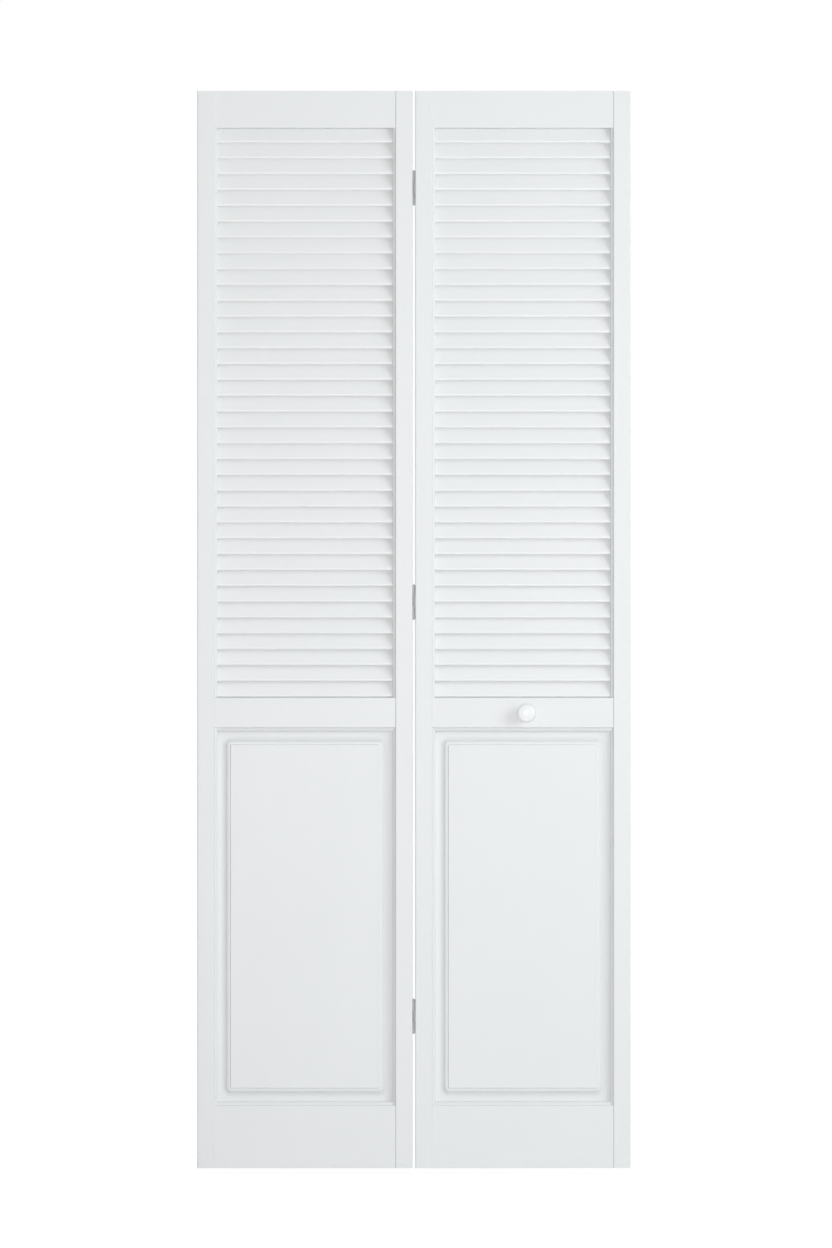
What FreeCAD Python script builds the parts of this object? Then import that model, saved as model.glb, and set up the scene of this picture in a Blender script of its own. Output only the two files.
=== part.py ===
"""Bifold closet door: two louvre-over-panel leaves of painted pine, hinged back to back.

The door stands in the XZ plane with its front towards -Y and +Z up. X = 0, Y = 0 is the axis of
the pivot bores in the pivot leaf's outer stile, and Z = 0 is the door's bottom edge.
"""
import FreeCAD
import Part
import math
import os
import re
import Sketcher

SIZES = {
    # the leaves
    "leaf_height": 1997.0,
    "leaf_width": 399.0,
    "leaf_gap": 5.0,
    # stiles: flat face, sloping quirk, then an ovolo down to the inner edge, the same front and back
    "stile_thickness": 35.0,
    "stile_width": 37.0,
    "edge_radius": 2.0,
    "arris_radius": 0.8,
    "quirk_depth": 3.0,
    "quirk_width": 1.8,
    "sticking_width": 6.6,
    "sticking_depth": 3.4,
    # rails, coped over the stiles' ovolo
    "rail_thickness": 32.2,
    "top_rail_height": 68.5,
    "lock_rail_height": 63.0,
    "bottom_rail_height": 123.3,
    "joint_gap": 0.1,
    # louvre slats
    "louvre_height": 1056.0,
    "slat_count": 36,
    "slat_width": 36.0,
    "slat_thickness": 6.0,
    "nose_bevel": 1.8,
    "slat_tilt": 60.0,
    "slat_clearance": 0.15,
    "slat_end_gap": 0.3,
    "nose_gap": 0.5,
    "top_slat_lap": 5.0,
    "rebate_gap": 0.6,
    "mortise_depth": 10.0,
    # raised panel
    "panel_thickness": 19.0,
    "tongue_thickness": 6.0,
    "tongue_length": 7.0,
    "tongue_clearance": 0.2,
    "groove_depth": 8.0,
    "margin_flat": 7.0,
    "margin_width": 17.0,
    "cove_rise": 1.9,
    "cove_radius": 30.0,
    "bead_step": 1.4,
    "bead_width": 7.5,
    "bead_radius": 12.0,
    "field_step": 2.0,
    # tenons on the rails' ends, in blind mortises in the stiles
    "tenon_thickness": 10.0,
    "tenon_length": 20.0,
    "tenon_web": 4.0,
    "tenon_clearance": 0.1,
    "tenon_end_gap": 0.5,
    # bores for the pivots and the track guide
    "pivot_inset": 22.0,
    "pivot_bore_diameter": 9.5,
    "pivot_bore_depth": 32.0,
    # butt hinges on the back faces
    "hinge_count": 3,
    "hinge_height": 64.0,
    "top_hinge_drop": 178.0,
    "bottom_hinge_rise": 280.0,
    "knuckle_count": 3,
    "knuckle_gap": 0.3,
    "notch_gap": 0.4,
    "plate_thickness": 1.6,
    "plate_reach": 26.0,
    "pin_diameter": 3.2,
    "pin_clearance": 0.05,
    "pin_tip": 1.0,
    # hinge screws
    "screw_count": 2,
    "screw_pitch": 36.0,
    "screw_inset": 16.0,
    "screw_diameter": 3.5,
    "screw_length": 19.0,
    "screw_clearance": 0.05,
    # knob on the lead leaf's lock rail
    "knob_offset": 6.0,
    "knob_diameter": 35.0,
    "knob_projection": 27.0,
    "knob_foot_diameter": 20.0,
    "knob_foot_height": 3.0,
    "knob_neck_diameter": 13.0,
    "knob_neck_height": 11.0,
    "knob_rim_height": 20.0,
    "knob_rim_width": 5.0,
    "knob_rim_bevel": 1.5,
    "knob_ring_diameter": 20.0,
    "knob_ring_width": 2.0,
    "knob_ring_depth": 1.0,
    "knob_face_rise": 0.8,
    "knob_screw_diameter": 4.0,
    "knob_screw_bite": 13.0,
    "knob_screw_head_diameter": 9.0,
    "knob_screw_head_height": 2.4,
    "knob_screw_clearance": 0.25,
    "knob_thread_clearance": 0.05,
}

CUTTER_OVERRUN = 2.0

# widths across a leaf
OPENING_WIDTH = "(leaf_width - 2 * stile_width)"
LEAD_LEAF_EDGE = "(leaf_width + leaf_gap - pivot_inset)"

# heights up a leaf
TOP_RAIL_Z = "(leaf_height - top_rail_height)"
LOCK_RAIL_TOP_Z = f"({TOP_RAIL_Z} - louvre_height)"
LOCK_RAIL_Z = f"({LOCK_RAIL_TOP_Z} - lock_rail_height)"
PANEL_OPENING_HEIGHT = f"({LOCK_RAIL_Z} - bottom_rail_height)"

# half thicknesses, from the middle of the door's thickness
STILE_FACE_Y = "(stile_thickness / 2)"
RAIL_FACE_Y = "(rail_thickness / 2)"
QUIRK_Y = f"({STILE_FACE_Y} - quirk_depth)"
INNER_EDGE_Y = f"({QUIRK_Y} - sticking_depth)"
GROOVE_Y = "(tongue_thickness / 2 + tongue_clearance)"

# the ovolo leaves the foot of the quirk level with the face
OVOLO_WIDTH = "(sticking_width - quirk_width)"
OVOLO_RADIUS = f"(({OVOLO_WIDTH} ^ 2 + sticking_depth ^ 2) / (2 * sticking_depth))"

# the rounding of the arris touches the face and the quirk this far from where they meet
QUIRK_SLOPE = "atan(quirk_depth / quirk_width)"
ARRIS_TANGENT = f"(arris_radius * tan({QUIRK_SLOPE} / 2))"

# the quirk's run from the stile's face down to the level of a rail's face
RAIL_QUIRK_RUN = f"(quirk_width * ({STILE_FACE_Y} - {RAIL_FACE_Y}) / quirk_depth)"

# the louvre slats, stacked from the lock rail up into the top rail's rebate
TILT = "(slat_tilt * 1 deg)"
SLAT_HALF_RISE = (
    f"(slat_width / 2 * sin({TILT}) + (slat_thickness / 2 - nose_bevel) * cos({TILT}))"
)
FIRST_SLAT_Z = f"({LOCK_RAIL_TOP_Z} + nose_gap + {SLAT_HALF_RISE})"
LAST_SLAT_Z = f"({TOP_RAIL_Z} + top_slat_lap - {SLAT_HALF_RISE})"
SLAT_SPREAD = f"({LAST_SLAT_Z} - {FIRST_SLAT_Z})"

# each tenon stops short of the rail's inner edge, and of a pivot bore at the door's end
TENON_FROM_EDGE = "(groove_depth + tenon_web)"
TENON_FROM_END = "(pivot_bore_depth + tenon_web)"
TOP_RAIL_TENON = (TENON_FROM_EDGE, f"(top_rail_height - {TENON_FROM_END})")
LOCK_RAIL_TENON = (TENON_FROM_EDGE, f"(lock_rail_height - {TENON_FROM_EDGE})")
BOTTOM_RAIL_TENON = (TENON_FROM_END, f"(bottom_rail_height - {TENON_FROM_EDGE})")

# the hinges turn about one line in the middle of the gap, a knuckle's radius behind the leaves
KNUCKLE_RADIUS = "(pin_diameter / 2 + plate_thickness)"
PIN_BORE_RADIUS = "(pin_diameter / 2 + pin_clearance)"
HINGE_AXIS_X = "(leaf_width + leaf_gap / 2 - pivot_inset)"
HINGE_AXIS_Y = f"({STILE_FACE_Y} + {KNUCKLE_RADIUS})"
FIRST_HINGE_Z = "(bottom_hinge_rise - hinge_height / 2)"
HINGE_SPREAD = "(leaf_height - top_hinge_drop - bottom_hinge_rise)"
KNUCKLE_PITCH = "(hinge_height / knuckle_count)"
FIRST_SCREW_RISE = "((hinge_height - screw_pitch * (screw_count - 1)) / 2)"
SCREW_HEAD_RADIUS = "(screw_diameter / 2 + plate_thickness)"

# the knob sits in the middle of the lock rail's flat face
KNOB_X = f"({LEAD_LEAF_EDGE} + leaf_width / 2 + knob_offset)"
KNOB_RISE = f"((lock_rail_height + sticking_width - {RAIL_QUIRK_RUN}) / 2)"


def expression(text):
    """Point every size named in the text at its cell in the sheet."""
    return re.sub(r"[a-z_]+", lambda word: ("Sizes." if word[0] in SIZES else "") + word[0], text)


def bind(feature, **properties):
    """Tie properties of a feature to the sheet. A double underscore stands for a dot."""
    for name, text in properties.items():
        feature.setExpression(name.replace("__", "."), expression(text))


def fill_sheet(doc):
    sheet = doc.addObject("Spreadsheet::Sheet", "Sizes")
    for row, (alias, number) in enumerate(SIZES.items(), start=1):
        sheet.set(f"A{row}", alias.replace("_", " "))
        sheet.set(f"B{row}", str(number))
        sheet.setAlias(f"B{row}", alias)
    doc.recompute()


def new_body(doc, label, x="0", y="0", z="0"):
    body = doc.addObject("PartDesign::Body", label)
    body.Label = label
    bind(body, Placement__Base__x=x, Placement__Base__y=y, Placement__Base__z=z)
    return body


def origin_feature(body, role):
    """The body's own plane or axis, such as XY_Plane or Z_Axis."""
    return next(feature for feature in body.Origin.OriginFeatures if feature.Role == role)


def new_sketch(body, name, plane, across="0", up="0", out="0", turn="0"):
    """A sketch on the body's own plane, moved across, up and out of it and turned in it."""
    sketch = body.newObject("Sketcher::SketchObject", name)
    sketch.AttachmentSupport = [(origin_feature(body, plane), "")]
    sketch.MapMode = "FlatFace"
    sketch.AttachmentOffset = FreeCAD.Placement(
        FreeCAD.Vector(0, 0, 0), FreeCAD.Rotation(FreeCAD.Vector(0, 0, 1), 1.0)
    )
    bind(
        sketch,
        AttachmentOffset__Base__x=across,
        AttachmentOffset__Base__y=up,
        AttachmentOffset__Base__z=out,
        AttachmentOffset__Rotation__Angle=turn,
    )
    return sketch


def number(sketch, text):
    """What an expression comes to, to draw each shape at its true place from the start."""
    value = sketch.evalExpression(expression(text))
    return float(getattr(value, "Value", value))


def hold(sketch, kind, text, *points):
    """Add a dimension between points or on an edge, tied to the sheet."""
    index = sketch.addConstraint(Sketcher.Constraint(kind, *points, number(sketch, text)))
    sketch.setExpression(f"Constraints[{index}]", expression(text))


def arc_between(start, end, radius, turn):
    """The short arc from start to end, anticlockwise where turn is 1 and clockwise where -1."""
    chord = end - start
    rise = math.sqrt(max(radius**2 - (chord.Length / 2) ** 2, 0.0))
    left = FreeCAD.Vector(-chord.y, chord.x, 0).normalize()
    centre = (start + end) / 2 + left * (turn * rise)
    first, last = (start, end) if turn > 0 else (end, start)
    first_angle = math.atan2(first.y - centre.y, first.x - centre.x)
    last_angle = math.atan2(last.y - centre.y, last.x - centre.x)
    if last_angle < first_angle:
        last_angle += 2 * math.pi
    circle = Part.Circle(centre, FreeCAD.Vector(0, 0, 1), radius)
    return Part.ArcOfCircle(circle, first_angle, last_angle)


def draw_loop(sketch, corners):
    """Draw a closed loop. A corner is (across, up), with (radius, turn) after it where an arc
    rather than a line runs from it to the next corner."""
    points = [FreeCAD.Vector(number(sketch, c[0]), number(sketch, c[1]), 0) for c in corners]
    edges = []
    for index, corner in enumerate(corners):
        start = points[index]
        end = points[(index + 1) % len(corners)]
        if len(corner) == 2:
            edges.append((sketch.addGeometry(Part.LineSegment(start, end)), 1, 2))
            continue
        radius, turn = corner[2:]
        arc = arc_between(start, end, number(sketch, radius), turn)
        ends = (1, 2) if turn > 0 else (2, 1)
        edges.append((sketch.addGeometry(arc), *ends))
    for index, corner in enumerate(corners):
        edge, start, end = edges[index]
        next_edge, next_start, _ = edges[(index + 1) % len(corners)]
        sketch.addConstraint(Sketcher.Constraint("Coincident", edge, end, next_edge, next_start))
        hold(sketch, "DistanceX", corner[0], -1, 1, edge, start)
        hold(sketch, "DistanceY", corner[1], -1, 1, edge, start)
        if len(corner) == 4:
            hold(sketch, "Radius", corner[2], edge)


def draw_circle(sketch, across, up, radius):
    centre = FreeCAD.Vector(number(sketch, across), number(sketch, up), 0)
    circle = Part.Circle(centre, FreeCAD.Vector(0, 0, 1), number(sketch, radius))
    edge = sketch.addGeometry(circle)
    hold(sketch, "DistanceX", across, -1, 1, edge, 3)
    hold(sketch, "DistanceY", up, -1, 1, edge, 3)
    hold(sketch, "Radius", radius, edge)


def pad(body, sketch, length, name="Pad", both_ways=False):
    feature = body.newObject("PartDesign::Pad", name)
    feature.Profile = sketch
    if both_ways:
        feature.SideType = "Symmetric"
    bind(feature, Length=length)
    return feature


def pocket(body, sketch, depth, name, along_normal=False):
    """Cut to a depth, against the sketch's normal or along it."""
    feature = body.newObject("PartDesign::Pocket", name)
    feature.Profile = sketch
    feature.Reversed = along_normal
    bind(feature, Length=depth)
    return feature


def pocket_through(body, sketch, name):
    feature = body.newObject("PartDesign::Pocket", name)
    feature.Profile = sketch
    feature.Type = "ThroughAll"
    feature.SideType = "Symmetric"
    return feature


def repeat(body, feature, axis, spread, count, name):
    """Repeat a feature along one of the body's axes, over a spread from first to last."""
    pattern = body.newObject("PartDesign::LinearPattern", name)
    pattern.Originals = [feature]
    pattern.Direction = (origin_feature(body, axis), [""])
    bind(pattern, Length=spread, Occurrences=count)
    body.Tip = pattern
    return pattern


def repeat_screws(body, feature, name):
    """Repeat one hinge screw, or its hole, up the plate and again at each hinge."""
    pattern = repeat(body, feature, "Z_Axis", "screw_pitch * (screw_count - 1)", "screw_count", name)
    pattern.Direction2 = (origin_feature(body, "Z_Axis"), [""])
    bind(pattern, Length2=HINGE_SPREAD, Occurrences2="hinge_count")


def signed(sign, text):
    return f"({sign} * {text})"


def draw_stile_section(sketch, hand):
    """Plan of a stile. Its plain edge is at 0 and its moulded edge lies towards the hand."""
    arris = "(stile_width - sticking_width)"
    face_end = signed(hand, f"({arris} - {ARRIS_TANGENT})")
    quirk_top = signed(hand, f"({arris} + {ARRIS_TANGENT} * cos({QUIRK_SLOPE}))")
    quirk_top_y = f"({STILE_FACE_Y} - {ARRIS_TANGENT} * sin({QUIRK_SLOPE}))"
    quirk_foot = signed(hand, f"({arris} + quirk_width)")
    draw_loop(sketch, [
        ("0", f"-{STILE_FACE_Y} + edge_radius", "edge_radius", hand),
        (signed(hand, "edge_radius"), f"-{STILE_FACE_Y}"),
        (face_end, f"-{STILE_FACE_Y}", "arris_radius", hand),
        (quirk_top, f"-{quirk_top_y}"),
        (quirk_foot, f"-{QUIRK_Y}", OVOLO_RADIUS, hand),
        (signed(hand, "stile_width"), f"-{INNER_EDGE_Y}"),
        (signed(hand, "stile_width"), INNER_EDGE_Y, OVOLO_RADIUS, hand),
        (quirk_foot, QUIRK_Y),
        (quirk_top, quirk_top_y, "arris_radius", hand),
        (face_end, STILE_FACE_Y),
        (signed(hand, "edge_radius"), STILE_FACE_Y, "edge_radius", hand),
        ("0", f"{STILE_FACE_Y} - edge_radius"),
    ])


def draw_slat_section(sketch, clearance="0"):
    """A slat's section along its own width, with bevelled noses, or the hole that clears it."""
    side = f"(slat_thickness / 2 + {clearance})"
    end = f"(slat_width / 2 + {clearance})"
    bevel = f"(nose_bevel + (2 - sqrt(2)) * {clearance})"
    draw_loop(sketch, [
        (f"{end} - {bevel}", side),
        (f"{bevel} - {end}", side),
        (f"-{end}", f"{side} - {bevel}"),
        (f"-{end}", f"{bevel} - {side}"),
        (f"{bevel} - {end}", f"-{side}"),
        (f"{end} - {bevel}", f"-{side}"),
        (end, f"{bevel} - {side}"),
        (end, f"{side} - {bevel}"),
    ])


def draw_rectangle(sketch, left, right, bottom, top):
    draw_loop(sketch, [(left, bottom), (right, bottom), (right, top), (left, top)])


def make_stile(doc, label, plain_edge_x, hand):
    """A full-height stile with its slat mortises, panel groove and tenon mortises."""
    body = new_body(doc, label, x=plain_edge_x)
    inner_edge = signed(hand, "stile_width")
    inwards = hand < 0

    section = new_sketch(body, "StileSection", "XY_Plane")
    draw_stile_section(section, hand)
    pad(body, section, "leaf_height", "Stile")

    mortise = new_sketch(
        body, "SlatMortise", "YZ_Plane", up=FIRST_SLAT_Z, out=inner_edge, turn="slat_tilt"
    )
    draw_slat_section(mortise, "slat_clearance")
    first = pocket(body, mortise, "mortise_depth", "Mortise", along_normal=inwards)
    repeat(body, first, "Z_Axis", SLAT_SPREAD, "slat_count", "Mortises")

    groove = new_sketch(body, "PanelGroove", "YZ_Plane", out=inner_edge)
    groove_top = f"({LOCK_RAIL_Z} + groove_depth)"
    draw_rectangle(
        groove, f"-{GROOVE_Y}", GROOVE_Y, "bottom_rail_height - groove_depth", groove_top
    )
    pocket(body, groove, "groove_depth", "PanelGroove", along_normal=inwards)

    tenons = new_sketch(body, "TenonMortises", "YZ_Plane", out=inner_edge)
    half = "(tenon_thickness / 2 + tenon_clearance)"
    for rail_z, (low, high) in (
        ("0", BOTTOM_RAIL_TENON), (LOCK_RAIL_Z, LOCK_RAIL_TENON), (TOP_RAIL_Z, TOP_RAIL_TENON)
    ):
        low_z = f"{rail_z} + {low} - tenon_clearance"
        high_z = f"{rail_z} + {high} + tenon_clearance"
        draw_rectangle(tenons, f"-{half}", half, low_z, high_z)
    depth = "tenon_length + tenon_end_gap"
    pocket(body, tenons, depth, "TenonMortises", along_normal=inwards)
    return body


def bore_stile_end(body, hand, top):
    """Bore one end of an outer stile for a pivot or the track guide."""
    name = "TopBore" if top else "BottomBore"
    circle = new_sketch(body, name + "Circle", "XY_Plane", out="leaf_height" if top else "0")
    draw_circle(circle, signed(hand, "pivot_inset"), "0", "pivot_bore_diameter / 2")
    pocket(body, circle, "pivot_bore_depth", name, along_normal=not top)


def drill_screw_holes(body, hand):
    """Holes in the back of a hinge stile, one under each hole of the hinge plates."""
    from_edge = "(screw_inset - leaf_gap / 2)"
    circle = new_sketch(body, "ScrewHole", "XZ_Plane", out=f"-{STILE_FACE_Y}")
    rise = f"({FIRST_HINGE_Z} + {FIRST_SCREW_RISE})"
    draw_circle(circle, signed(hand, from_edge), rise, "screw_diameter / 2 + screw_clearance")
    first = pocket(body, circle, "screw_length", "ScrewHole", along_normal=True)
    repeat_screws(body, first, "ScrewHoles")


def draw_rail_plan(sketch):
    """Plan of a rail. Each end is hollowed to fit over the stile's quirk and ovolo."""
    end = "(leaf_width / 2 - stile_width - joint_gap)"
    shoulder = f"({end} + sticking_width - {RAIL_QUIRK_RUN})"
    quirk_foot = f"({end} + {OVOLO_WIDTH})"
    draw_loop(sketch, [
        (f"-{shoulder}", f"-{RAIL_FACE_Y}"),
        (shoulder, f"-{RAIL_FACE_Y}"),
        (quirk_foot, f"-{QUIRK_Y}", OVOLO_RADIUS, -1),
        (end, f"-{INNER_EDGE_Y}"),
        (end, INNER_EDGE_Y, OVOLO_RADIUS, -1),
        (quirk_foot, QUIRK_Y),
        (shoulder, RAIL_FACE_Y),
        (f"-{shoulder}", RAIL_FACE_Y),
        (f"-{quirk_foot}", QUIRK_Y, OVOLO_RADIUS, -1),
        (f"-{end}", INNER_EDGE_Y),
        (f"-{end}", f"-{INNER_EDGE_Y}", OVOLO_RADIUS, -1),
        (f"-{quirk_foot}", f"-{QUIRK_Y}"),
    ])


def make_rail(doc, label, centre_x, bottom_z, height, tenon):
    """A rail between the stiles, with a tenon at each end."""
    body = new_body(doc, label, x=centre_x, z=bottom_z)
    plan = new_sketch(body, "RailPlan", "XY_Plane")
    draw_rail_plan(plan)
    pad(body, plan, height, "Rail")

    section = new_sketch(body, "TenonSection", "YZ_Plane")
    draw_rectangle(section, "-tenon_thickness / 2", "tenon_thickness / 2", *tenon)
    pad(body, section, f"{OPENING_WIDTH} + 2 * tenon_length", "Tenons", both_ways=True)
    return body


def mould_rail_edge(body, edge_z, inwards):
    """Run the moulding and the panel groove along a rail's edge. Inwards is 1 where the rail
    lies above the edge and -1 where it lies below."""
    sketch = new_sketch(body, "EdgeMoulding", "YZ_Plane", up=edge_z)
    clear = f"({RAIL_FACE_Y} + {CUTTER_OVERRUN})"
    outside = signed(-inwards, f"{CUTTER_OVERRUN}")
    arris = signed(inwards, f"(sticking_width - {RAIL_QUIRK_RUN})")
    quirk_foot = signed(inwards, OVOLO_WIDTH)
    groove = signed(inwards, "groove_depth")
    draw_loop(sketch, [
        (f"-{clear}", outside),
        (clear, outside),
        (clear, arris),
        (RAIL_FACE_Y, arris),
        (QUIRK_Y, quirk_foot, OVOLO_RADIUS, -inwards),
        (INNER_EDGE_Y, "0"),
        (GROOVE_Y, "0"),
        (GROOVE_Y, groove),
        (f"-{GROOVE_Y}", groove),
        (f"-{GROOVE_Y}", "0"),
        (f"-{INNER_EDGE_Y}", "0", OVOLO_RADIUS, -inwards),
        (f"-{QUIRK_Y}", quirk_foot),
        (f"-{RAIL_FACE_Y}", arris),
        (f"-{clear}", arris),
    ])
    pocket_through(body, sketch, "EdgeMoulding")


def rebate_top_rail(body):
    """Rebate the rail's lower back edge, where the highest slat tucks in."""
    slat_front = (
        f"(({SLAT_HALF_RISE} - top_slat_lap - slat_thickness / 2 * cos({TILT})) / tan({TILT})"
        f" - slat_thickness / 2 * sin({TILT}))"
    )
    wall = f"({slat_front} - rebate_gap)"
    clear = f"({RAIL_FACE_Y} + {CUTTER_OVERRUN})"
    sketch = new_sketch(body, "SlatRebate", "YZ_Plane")
    draw_rectangle(sketch, wall, clear, f"-{CUTTER_OVERRUN}", "top_slat_lap + rebate_gap")
    pocket_through(body, sketch, "SlatRebate")


def drill_knob_hole(body):
    sketch = new_sketch(body, "KnobHole", "XZ_Plane")
    draw_circle(sketch, "knob_offset", KNOB_RISE, "knob_screw_diameter / 2 + knob_screw_clearance")
    pocket_through(body, sketch, "KnobHole")


def draw_raised_edge(sketch, half_size, edge_side, face_side, across_is_face):
    """What the cutter takes off one face along one edge of the panel: the tongue, a flat that
    hollows up to a small step, a bead, and a second step up to the field."""
    def corner(from_edge, from_middle, *arc):
        along = signed(edge_side, f"({half_size} - {from_edge})")
        proud = signed(face_side, from_middle)
        if across_is_face:
            return (proud, along, *arc)
        return (along, proud, *arc)

    tongue = "(tongue_thickness / 2)"
    bead_foot = f"({tongue} + cove_rise + bead_step)"
    clear = f"(panel_thickness / 2 + {CUTTER_OVERRUN})"
    bead_edge = "(tongue_length + margin_width)"
    field_edge = f"({bead_edge} + bead_width)"
    turn = edge_side * face_side * (1 if across_is_face else -1)
    draw_loop(sketch, [
        corner(f"(-{CUTTER_OVERRUN})", clear),
        corner(f"(-{CUTTER_OVERRUN})", tongue),
        corner("(tongue_length + margin_flat)", tongue, "cove_radius", -turn),
        corner(bead_edge, f"({tongue} + cove_rise)"),
        corner(bead_edge, bead_foot, "bead_radius", turn),
        corner(field_edge, "(panel_thickness / 2 - field_step)"),
        corner(field_edge, clear),
    ])


def make_panel(doc, label, centre_x):
    """A raised panel that floats in the grooves round its opening."""
    width = f"({OPENING_WIDTH} + 2 * tongue_length)"
    height = f"({PANEL_OPENING_HEIGHT} + 2 * tongue_length)"
    middle_z = f"bottom_rail_height + {PANEL_OPENING_HEIGHT} / 2"
    body = new_body(doc, label, x=centre_x, z=middle_z)
    outline = new_sketch(body, "PanelOutline", "XZ_Plane")
    draw_rectangle(
        outline, f"-{width} / 2", f"{width} / 2", f"-{height} / 2", f"{height} / 2"
    )
    pad(body, outline, "panel_thickness", "Board", both_ways=True)

    ends = new_sketch(body, "RaisedEnds", "YZ_Plane")
    sides = new_sketch(body, "RaisedSides", "XY_Plane")
    for edge_side in (-1, 1):
        for face_side in (-1, 1):
            draw_raised_edge(ends, f"{height} / 2", edge_side, face_side, across_is_face=True)
            draw_raised_edge(sides, f"{width} / 2", edge_side, face_side, across_is_face=False)
    pocket_through(body, ends, "RaisedEnds")
    pocket_through(body, sides, "RaisedSides")
    return body


def make_slats(doc, label, centre_x):
    """The louvre slats of one leaf, their ends seated in the stiles' mortises."""
    body = new_body(doc, label, x=centre_x)
    section = new_sketch(body, "SlatSection", "YZ_Plane", up=FIRST_SLAT_Z, turn="slat_tilt")
    draw_slat_section(section)
    length = f"{OPENING_WIDTH} + 2 * (mortise_depth - slat_end_gap)"
    slat = pad(body, section, length, "Slat", both_ways=True)
    repeat(body, slat, "Z_Axis", SLAT_SPREAD, "slat_count", "Slats")
    return body


def make_leaf(doc, prefix, left_edge_x, hinge_on_right):
    """Everything that both leaves have. Each stile's plain edge faces out of the leaf."""
    centre_x = f"({left_edge_x} + leaf_width / 2)"
    left_name, right_name = ("outer", "hinge") if hinge_on_right else ("hinge", "outer")
    left = make_stile(doc, f"{prefix}_{left_name}_stile", left_edge_x, 1)
    right = make_stile(doc, f"{prefix}_{right_name}_stile", f"{left_edge_x} + leaf_width", -1)
    outer, outer_hand = (left, 1) if hinge_on_right else (right, -1)
    hinged, hinged_hand = (right, -1) if hinge_on_right else (left, 1)
    bore_stile_end(outer, outer_hand, top=True)
    drill_screw_holes(hinged, hinged_hand)

    top = make_rail(
        doc, f"{prefix}_top_rail", centre_x, TOP_RAIL_Z, "top_rail_height", TOP_RAIL_TENON
    )
    rebate_top_rail(top)
    lock = make_rail(
        doc, f"{prefix}_lock_rail", centre_x, LOCK_RAIL_Z, "lock_rail_height", LOCK_RAIL_TENON
    )
    mould_rail_edge(lock, "0", 1)
    bottom = make_rail(
        doc, f"{prefix}_bottom_rail", centre_x, "0", "bottom_rail_height", BOTTOM_RAIL_TENON
    )
    mould_rail_edge(bottom, "bottom_rail_height", -1)
    slats = make_slats(doc, f"{prefix}_louvre_slats", centre_x)
    panel = make_panel(doc, f"{prefix}_raised_panel", centre_x)
    pieces = [left, right, top, lock, bottom, slats, panel]
    return pieces, outer, lock


def make_hinge_plate(doc, label, hinge_z, side, first_knuckle):
    """A hinge plate on the back of one stile. Side is -1 on the pivot leaf and 1 on the lead
    leaf, and every second knuckle from the first is this plate's own."""
    body = new_body(doc, label, x=HINGE_AXIS_X, y=HINGE_AXIS_Y, z=hinge_z)
    back = f"-{KNUCKLE_RADIUS}"
    sheet_top = f"(plate_thickness - {KNUCKLE_RADIUS})"
    notch = signed(side, f"({KNUCKLE_RADIUS} + notch_gap)")

    flap = new_sketch(body, "Flap", "XY_Plane")
    draw_loop(flap, [
        (notch, back),
        (signed(side, "plate_reach"), back),
        (signed(side, "plate_reach"), sheet_top),
        (notch, sheet_top),
    ])
    pad(body, flap, "hinge_height", "Flap")

    knuckle = new_sketch(
        body, "Knuckle", "XY_Plane", out=f"{first_knuckle} * {KNUCKLE_PITCH} + knuckle_gap / 2"
    )
    draw_loop(knuckle, [
        (notch, back),
        (notch, sheet_top),
        (signed(side, f"sqrt({KNUCKLE_RADIUS} ^ 2 - {sheet_top} ^ 2)"), sheet_top,
         KNUCKLE_RADIUS, side),
        ("0", KNUCKLE_RADIUS, KNUCKLE_RADIUS, side),
        (signed(-side, KNUCKLE_RADIUS), "0", KNUCKLE_RADIUS, side),
        ("0", back),
    ])
    rolled = pad(body, knuckle, f"{KNUCKLE_PITCH} - knuckle_gap", "Knuckle")
    own_count = f"floor((knuckle_count + 1 - {first_knuckle}) / 2)"
    spread = f"({own_count} - 1) * 2 * {KNUCKLE_PITCH}"
    repeat(body, rolled, "Z_Axis", spread, own_count, "Knuckles")

    bore = new_sketch(body, "PinBore", "XY_Plane")
    draw_circle(bore, "0", "0", PIN_BORE_RADIUS)
    pocket_through(body, bore, "PinBore")

    countersink = new_sketch(body, "Countersink", "XZ_Plane", out=f"-{sheet_top}")
    draw_circle(
        countersink, signed(side, "screw_inset"), FIRST_SCREW_RISE,
        f"{SCREW_HEAD_RADIUS} + screw_clearance"
    )
    sunk = pocket(body, countersink, "plate_thickness", "Countersink", along_normal=True)
    sunk.TaperAngle = -45
    repeat(
        body, sunk, "Z_Axis", "screw_pitch * (screw_count - 1)", "screw_count", "Countersinks"
    )
    return body


def revolve(body, sketch, axis, name):
    feature = body.newObject("PartDesign::Revolution", name)
    feature.Profile = sketch
    feature.ReferenceAxis = (origin_feature(body, axis), [""])
    feature.Angle = 360
    return feature


def make_hinge_pin(doc, label, hinge_z):
    body = new_body(doc, label, x=HINGE_AXIS_X, y=HINGE_AXIS_Y, z=hinge_z)
    half = new_sketch(body, "HalfPin", "XZ_Plane")
    radius = "(pin_diameter / 2)"
    draw_rectangle(half, "0", radius, "-pin_tip", "hinge_height + pin_tip")
    revolve(body, half, "Z_Axis", "Pin")
    return body


def make_hinge_screws(doc, label, side):
    """The countersunk screws of all the hinge plates on one leaf, heads flush with the plates."""
    body = new_body(
        doc, label,
        x=f"{HINGE_AXIS_X} + {signed(side, 'screw_inset')}",
        y=f"{STILE_FACE_Y} + plate_thickness",
        z=f"{FIRST_HINGE_Z} + {FIRST_SCREW_RISE}",
    )
    shank = "(screw_diameter / 2)"
    half = new_sketch(body, "HalfScrew", "XY_Plane")
    draw_loop(half, [
        ("0", "0"),
        ("0", "-screw_length"),
        (shank, "-screw_length"),
        (shank, "-plate_thickness"),
        (SCREW_HEAD_RADIUS, "0"),
    ])
    screw = revolve(body, half, "Y_Axis", "Screw")
    repeat_screws(body, screw, "Screws")
    return body


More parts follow.
